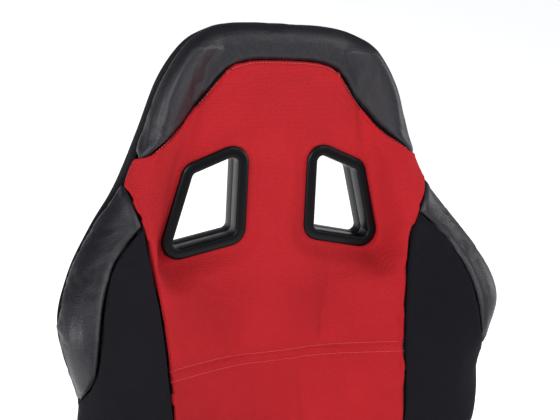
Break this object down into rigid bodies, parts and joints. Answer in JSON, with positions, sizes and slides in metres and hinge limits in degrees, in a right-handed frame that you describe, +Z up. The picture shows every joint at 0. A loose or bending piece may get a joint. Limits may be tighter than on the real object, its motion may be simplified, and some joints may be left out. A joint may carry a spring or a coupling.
{
  "type": "reclining racing seat",
  "caption": "Reclining racing seat with harness slots, shoulder wings, red centre panel and black bolsters, on slide rails with recliner and fold-forward latch.",
  "frame": {"origin": "centre of the four floor bolt holes, in the plane of the lower rails' underside", "axes": "+Z up, the occupant faces -Y, +X towards the occupant's left side"},
  "size_m": [0.559, 0.7259, 0.9581],
  "materials": {
    "red_fabric": "woven",
    "black_fabric": "woven",
    "black_leatherette": "satin",
    "foam": "matt",
    "black_steel": "satin",
    "zinc_steel": "satin",
    "black_plastic": "satin"
  },
  "bodies": {
    "floor_rails": {"lower_rail_left": "black_steel", "lower_rail_right": "black_steel"},
    "seat_base": {"upper_rail_left": "black_steel", "upper_rail_right": "black_steel", "glide_pads": "black_plastic", "slide_stop_pins": "zinc_steel", "rail_bolts": "zinc_steel", "side_member_left": "black_steel", "side_member_right": "black_steel", "front_cross_tube": "black_steel", "rear_cross_tube": "black_steel", "base_springs": "zinc_steel", "hinge_plate_left": "black_steel", "hinge_plate_right": "black_steel", "hinge_bolts": "zinc_steel", "recliner_housing_left": "zinc_steel", "recliner_housing_right": "zinc_steel", "side_cover_left": "black_plastic", "side_cover_right": "black_plastic", "side_cover_screws": "zinc_steel", "cushion_foam": "foam", "cushion_centre": "red_fabric", "cushion_bolster_left": "black_fabric", "cushion_bolster_right": "black_fabric", "cushion_roll_left": "black_leatherette", "cushion_roll_right": "black_leatherette", "cushion_front": "black_fabric", "cushion_skirt": "black_fabric"},
    "rollers": {"roller_cages": "black_plastic", "rail_rollers": "zinc_steel"},
    "slide_handle": {"slide_handle_bar": "black_steel", "slide_handle_arm_left": "black_steel", "slide_handle_arm_right": "black_steel", "slide_handle_grip": "black_plastic"},
    "recline_drive": {"drive_shaft": "zinc_steel", "hand_wheel_left": "black_plastic", "hand_wheel_right": "black_plastic"},
    "recliner_arms": {"recliner_arm_left": "zinc_steel", "recliner_arm_right": "zinc_steel"},
    "backrest": {"back_frame": "black_steel", "back_cross_tubes": "black_steel", "back_springs": "zinc_steel", "back_bracket_left": "black_steel", "back_bracket_right": "black_steel", "bracket_bolts": "zinc_steel", "back_foam": "foam", "back_centre": "red_fabric", "back_bolster_left": "black_fabric", "back_bolster_right": "black_fabric", "shoulder_roll_left": "black_leatherette", "shoulder_roll_right": "black_leatherette", "head_roll": "black_leatherette", "back_side_band": "black_fabric", "back_rear_panel": "black_fabric", "slot_bezels_front": "black_plastic", "slot_bezels_rear": "black_plastic"},
    "fold_lever_left": {"fold_lever_left": "zinc_steel", "fold_grip_left": "black_plastic"},
    "fold_lever_right": {"fold_lever_right": "zinc_steel", "fold_grip_right": "black_plastic"}
  },
  "joints": [
    {"name": "seat_slide", "type": "slide", "parent": "floor_rails", "child": "seat_base", "axis": [0, 1, 0], "range_m": [-0.09, 0.09]},
    {"name": "roller_slide", "type": "slide", "parent": "floor_rails", "child": "rollers", "axis": [0, 1, 0], "range_m": [-0.045, 0.045]},
    {"name": "slide_handle_lift", "type": "hinge", "parent": "seat_base", "child": "slide_handle", "pos_m": [0, -0.04, 0.031], "axis": [-1, 0, 0], "range_deg": [0, 7], "stiffness_Nm_per_rad": 6, "springref_deg": -17.19},
    {"name": "recline", "type": "hinge", "parent": "seat_base", "child": "recliner_arms", "pos_m": [0, 0.205, 0.19], "axis": [-1, 0, 0], "range_deg": [-6, 48]},
    {"name": "hand_wheel_turn", "type": "hinge", "parent": "seat_base", "child": "recline_drive", "pos_m": [0, 0.205, 0.19], "axis": [-1, 0, 0], "range_deg": [-180, 1440]},
    {"name": "fold_forward", "type": "hinge", "parent": "recliner_arms", "child": "backrest", "pos_m": [0, 0.205, 0.19], "axis": [1, 0, 0], "range_deg": [0, 34]},
    {"name": "fold_lever_lift_left", "type": "hinge", "parent": "backrest", "child": "fold_lever_left", "pos_m": [0, 0.23063, 0.30934], "axis": [1, 0, 0], "range_deg": [0, 18], "stiffness_Nm_per_rad": 1, "springref_deg": -14.32},
    {"name": "fold_lever_lift_right", "type": "hinge", "parent": "backrest", "child": "fold_lever_right", "pos_m": [0, 0.23063, 0.30934], "axis": [1, 0, 0], "range_deg": [0, 18], "stiffness_Nm_per_rad": 1, "springref_deg": -14.32}
  ],
  "couplings": [
    {"joint": "roller_slide", "follows": "seat_slide", "ratio": 0.5},
    {"joint": "hand_wheel_turn", "follows": "recline", "ratio": 30}
  ]
}
